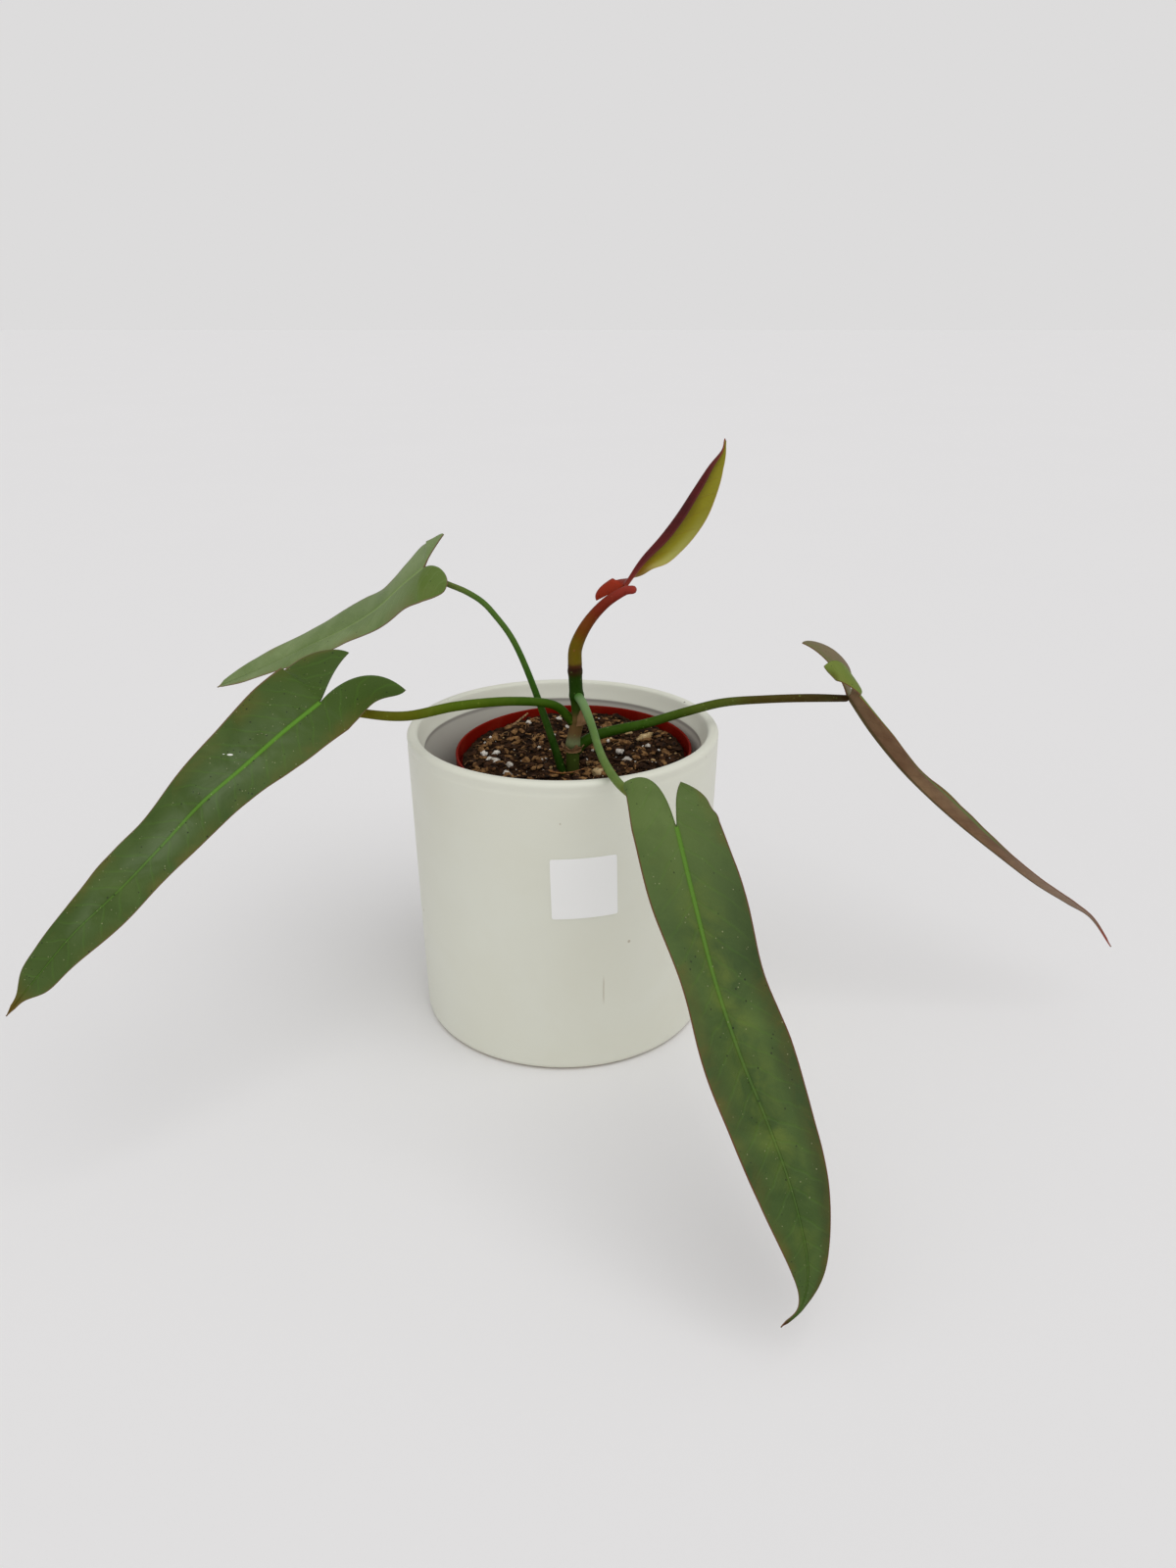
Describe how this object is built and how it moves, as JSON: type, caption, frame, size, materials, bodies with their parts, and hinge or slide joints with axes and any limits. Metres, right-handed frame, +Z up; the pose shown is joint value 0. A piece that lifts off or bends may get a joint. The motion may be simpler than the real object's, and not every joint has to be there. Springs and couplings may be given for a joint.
{
  "type": "potted philodendron",
  "caption": "Young long-leaved philodendron with five arrow-shaped leaves on bare petioles, in a nursery pot of potting mix inside a plain round glazed cover pot",
  "frame": {"origin": "centre of the cover pot's flat foot, on the surface that the pot stands on", "axes": "+Z up along the cover pot's axis, -Y toward the viewer of the picture with the label near it, +X to the viewer's right"},
  "size_m": [0.4868, 0.3162, 0.2853],
  "materials": {
    "pot_glaze": "satin off-white glaze",
    "label_paper": "plain matt white paper",
    "nursery_plastic": "brick-red thin moulded plastic",
    "mix": "dark crumbly bark and peat mix with white perlite",
    "stem_green": "smooth green stem with low leaf scars",
    "dry_sheath": "dry brown papery sheath",
    "dry_fibre": "dry tan fibre",
    "petiole_green": "smooth waxy green stalk",
    "petiole_red": "smooth waxy stalk, olive turning red",
    "blade_green": "satin dark green leaf",
    "blade_pale": "satin grey-green leaf",
    "blade_dusky": "dusky brown underside, green upper side",
    "blade_young": "young leaf, olive above and maroon beneath"
  },
  "bodies": {
    "root": {"cover_pot": "pot_glaze", "pot_label": "label_paper", "nursery_pot": "nursery_plastic", "potting_mix": "mix", "stem": "stem_green", "dry_sheath_lower": "dry_sheath", "dry_sheath_upper": "dry_sheath", "root_fibre": "dry_fibre", "twig": "dry_fibre", "petiole_front": "petiole_green", "petiole_left_front": "petiole_green", "petiole_left_back": "petiole_green", "petiole_right": "petiole_green", "petiole_new": "petiole_red", "blade_front": "blade_green", "blade_left_front": "blade_green", "blade_left_back": "blade_pale", "blade_right": "blade_dusky", "blade_new": "blade_young"}
  },
  "joints": []
}
